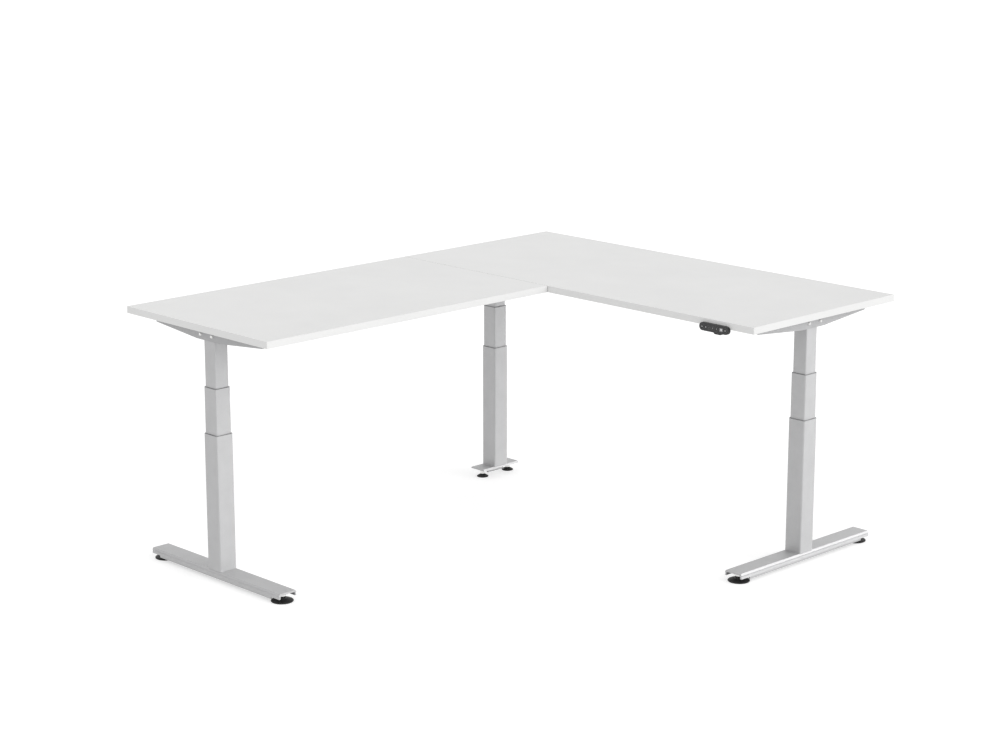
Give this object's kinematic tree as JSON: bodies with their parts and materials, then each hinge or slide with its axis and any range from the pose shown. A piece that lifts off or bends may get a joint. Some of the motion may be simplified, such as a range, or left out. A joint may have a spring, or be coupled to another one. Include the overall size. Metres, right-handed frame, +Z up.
{
  "type": "height adjustable standing desk",
  "caption": "L-shaped electric sit-stand desk: main and extension worktops on telescopic columns, with T-feet, a corner foot and an edge handset.",
  "frame": {"origin": "on the floor, under the centre of the rectangle that encloses the L of the two worktops", "axes": "+Z up; +Y from the user's side of the main worktop to its back edge; +X along the main worktop from the corner to its free end; the extension runs towards -Y at the -X side"},
  "size_m": [1.8, 2.14, 0.94],
  "materials": {
    "white_melamine": "white melamine facing on chipboard, fine low-sheen grain",
    "white_edge": "white plastic edge band, satin",
    "silver_powder_coat": "silver-grey powder coat, fine satin texture",
    "zinc_plated_steel": "bright zinc plating",
    "spindle_steel": "greased bright steel",
    "motor_casting": "dark die-cast housing",
    "guide_plastic": "grey acetal",
    "nut_plastic": "natural acetal",
    "glide_black": "black moulded plastic, lightly grained",
    "box_black": "black moulded plastic",
    "handset_black": "black moulded plastic, satin",
    "handset_face_black": "dark overlay, satin gloss",
    "key_black": "black moulded key with a pale printed mark",
    "display_grey": "pale display window and status light"
  },
  "bodies": {
    "feet": {"right_foot": "silver_powder_coat", "left_foot": "silver_powder_coat", "corner_foot": "silver_powder_coat", "right_outer_tube": "silver_powder_coat", "left_outer_tube": "silver_powder_coat", "corner_outer_tube": "silver_powder_coat", "outer_guides": "guide_plastic", "base_plates": "zinc_plated_steel", "lift_screws": "spindle_steel", "foot_bolts": "zinc_plated_steel", "glide_sockets": "zinc_plated_steel"},
    "right_middle": {"right_middle_tube": "silver_powder_coat", "right_middle_guides": "guide_plastic"},
    "left_middle": {"left_middle_tube": "silver_powder_coat", "left_middle_guides": "guide_plastic"},
    "corner_middle": {"corner_middle_tube": "silver_powder_coat", "corner_middle_guides": "guide_plastic"},
    "right_spindle": {"right_hollow_screw": "spindle_steel"},
    "right_rod": {"right_drive_rod": "spindle_steel"},
    "left_spindle": {"left_hollow_screw": "spindle_steel"},
    "left_rod": {"left_drive_rod": "spindle_steel"},
    "corner_spindle": {"corner_hollow_screw": "spindle_steel"},
    "corner_rod": {"corner_drive_rod": "spindle_steel"},
    "desktop": {"main_worktop": "white_melamine", "extension_worktop": "white_melamine", "main_edge_band": "white_edge", "extension_edge_band": "white_edge", "joining_plates": "zinc_plated_steel", "wood_screws": "zinc_plated_steel", "main_rails": "silver_powder_coat", "extension_rails": "silver_powder_coat", "frame_bolts": "zinc_plated_steel", "inner_guides": "guide_plastic", "lift_nuts": "nut_plastic", "control_box": "box_black", "control_box_cover": "zinc_plated_steel", "power_inlet": "box_black", "handset_housing": "handset_black", "handset_face": "handset_face_black", "handset_display": "display_grey", "right_inner_tube": "silver_powder_coat", "right_motor": "motor_casting", "right_bracket": "silver_powder_coat", "left_inner_tube": "silver_powder_coat", "left_motor": "motor_casting", "left_bracket": "silver_powder_coat", "corner_inner_tube": "silver_powder_coat", "corner_motor": "motor_casting", "corner_bracket": "silver_powder_coat"},
    "key_up": {"key_up": "key_black"},
    "key_down": {"key_down": "key_black"},
    "memory_key_1": {"memory_key_1": "key_black"},
    "memory_key_2": {"memory_key_2": "key_black"},
    "memory_key_3": {"memory_key_3": "key_black"},
    "right_front_leveller": {"right_front_glide": "glide_black"},
    "right_back_leveller": {"right_back_glide": "glide_black"},
    "left_front_leveller": {"left_front_glide": "glide_black"},
    "left_back_leveller": {"left_back_glide": "glide_black"},
    "corner_front_leveller": {"corner_front_glide": "glide_black"},
    "corner_back_leveller": {"corner_back_glide": "glide_black"}
  },
  "joints": [
    {"name": "right_lower_lift", "type": "slide", "parent": "feet", "child": "right_middle", "axis": [0, 0, 1], "range_m": [-0.1455, 0.1795]},
    {"name": "right_upper_lift", "type": "slide", "parent": "right_middle", "child": "desktop", "axis": [0, 0, 1], "range_m": [-0.1455, 0.1795]},
    {"name": "left_lower_lift", "type": "slide", "parent": "feet", "child": "left_middle", "axis": [0, 0, 1], "range_m": [-0.1455, 0.1795]},
    {"name": "corner_lower_lift", "type": "slide", "parent": "feet", "child": "corner_middle", "axis": [0, 0, 1], "range_m": [-0.1455, 0.1795]},
    {"name": "right_spindle_turn", "type": "hinge", "parent": "right_middle", "child": "right_spindle", "pos_m": [0.834, 0.638, 0.4], "axis": [0, 0, 1], "range_deg": [-4400, 5400]},
    {"name": "right_rod_turn", "type": "hinge", "parent": "desktop", "child": "right_rod", "pos_m": [0.834, 0.638, 0.6], "axis": [0, 0, 1], "range_deg": [-4400, 5400]},
    {"name": "left_spindle_turn", "type": "hinge", "parent": "left_middle", "child": "left_spindle", "pos_m": [-0.468, -1.004, 0.4], "axis": [0, 0, 1], "range_deg": [-4400, 5400]},
    {"name": "left_rod_turn", "type": "hinge", "parent": "desktop", "child": "left_rod", "pos_m": [-0.468, -1.004, 0.6], "axis": [0, 0, 1], "range_deg": [-4400, 5400]},
    {"name": "corner_spindle_turn", "type": "hinge", "parent": "corner_middle", "child": "corner_spindle", "pos_m": [-0.763, 0.638, 0.4], "axis": [0, 0, 1], "range_deg": [-4400, 5400]},
    {"name": "corner_rod_turn", "type": "hinge", "parent": "desktop", "child": "corner_rod", "pos_m": [-0.763, 0.638, 0.6], "axis": [0, 0, 1], "range_deg": [-4400, 5400]},
    {"name": "key_up_press", "type": "slide", "parent": "desktop", "child": "key_up", "axis": [0, 1, 0], "range_m": [0, 0.001], "stiffness_N_per_m": 600},
    {"name": "key_down_press", "type": "slide", "parent": "desktop", "child": "key_down", "axis": [0, 1, 0], "range_m": [0, 0.001], "stiffness_N_per_m": 600},
    {"name": "memory_key_1_press", "type": "slide", "parent": "desktop", "child": "memory_key_1", "axis": [0, 1, 0], "range_m": [0, 0.001], "stiffness_N_per_m": 600},
    {"name": "memory_key_2_press", "type": "slide", "parent": "desktop", "child": "memory_key_2", "axis": [0, 1, 0], "range_m": [0, 0.001], "stiffness_N_per_m": 600},
    {"name": "memory_key_3_press", "type": "slide", "parent": "desktop", "child": "memory_key_3", "axis": [0, 1, 0], "range_m": [0, 0.001], "stiffness_N_per_m": 600},
    {"name": "right_front_levelling", "type": "slide", "parent": "feet", "child": "right_front_leveller", "axis": [0, 0, -1], "range_m": [-0.002, 0.008]},
    {"name": "right_back_levelling", "type": "slide", "parent": "feet", "child": "right_back_leveller", "axis": [0, 0, -1], "range_m": [-0.002, 0.008]},
    {"name": "left_front_levelling", "type": "slide", "parent": "feet", "child": "left_front_leveller", "axis": [0, 0, -1], "range_m": [-0.002, 0.008]},
    {"name": "left_back_levelling", "type": "slide", "parent": "feet", "child": "left_back_leveller", "axis": [0, 0, -1], "range_m": [-0.002, 0.008]},
    {"name": "corner_front_levelling", "type": "slide", "parent": "feet", "child": "corner_front_leveller", "axis": [0, 0, -1], "range_m": [-0.0015, 0.008]},
    {"name": "corner_back_levelling", "type": "slide", "parent": "feet", "child": "corner_back_leveller", "axis": [0, 0, -1], "range_m": [-0.0015, 0.008]}
  ],
  "couplings": [
    {"joint": "right_upper_lift", "follows": "right_lower_lift", "ratio": 1},
    {"joint": "left_lower_lift", "follows": "right_lower_lift", "ratio": 1},
    {"joint": "corner_lower_lift", "follows": "right_lower_lift", "ratio": 1},
    {"joint": "right_spindle_turn", "follows": "right_lower_lift", "rad_per_m": 523.6},
    {"joint": "right_rod_turn", "follows": "right_lower_lift", "rad_per_m": 523.6},
    {"joint": "left_spindle_turn", "follows": "right_lower_lift", "rad_per_m": 523.6},
    {"joint": "left_rod_turn", "follows": "right_lower_lift", "rad_per_m": 523.6},
    {"joint": "corner_spindle_turn", "follows": "right_lower_lift", "rad_per_m": 523.6},
    {"joint": "corner_rod_turn", "follows": "right_lower_lift", "rad_per_m": 523.6}
  ]
}
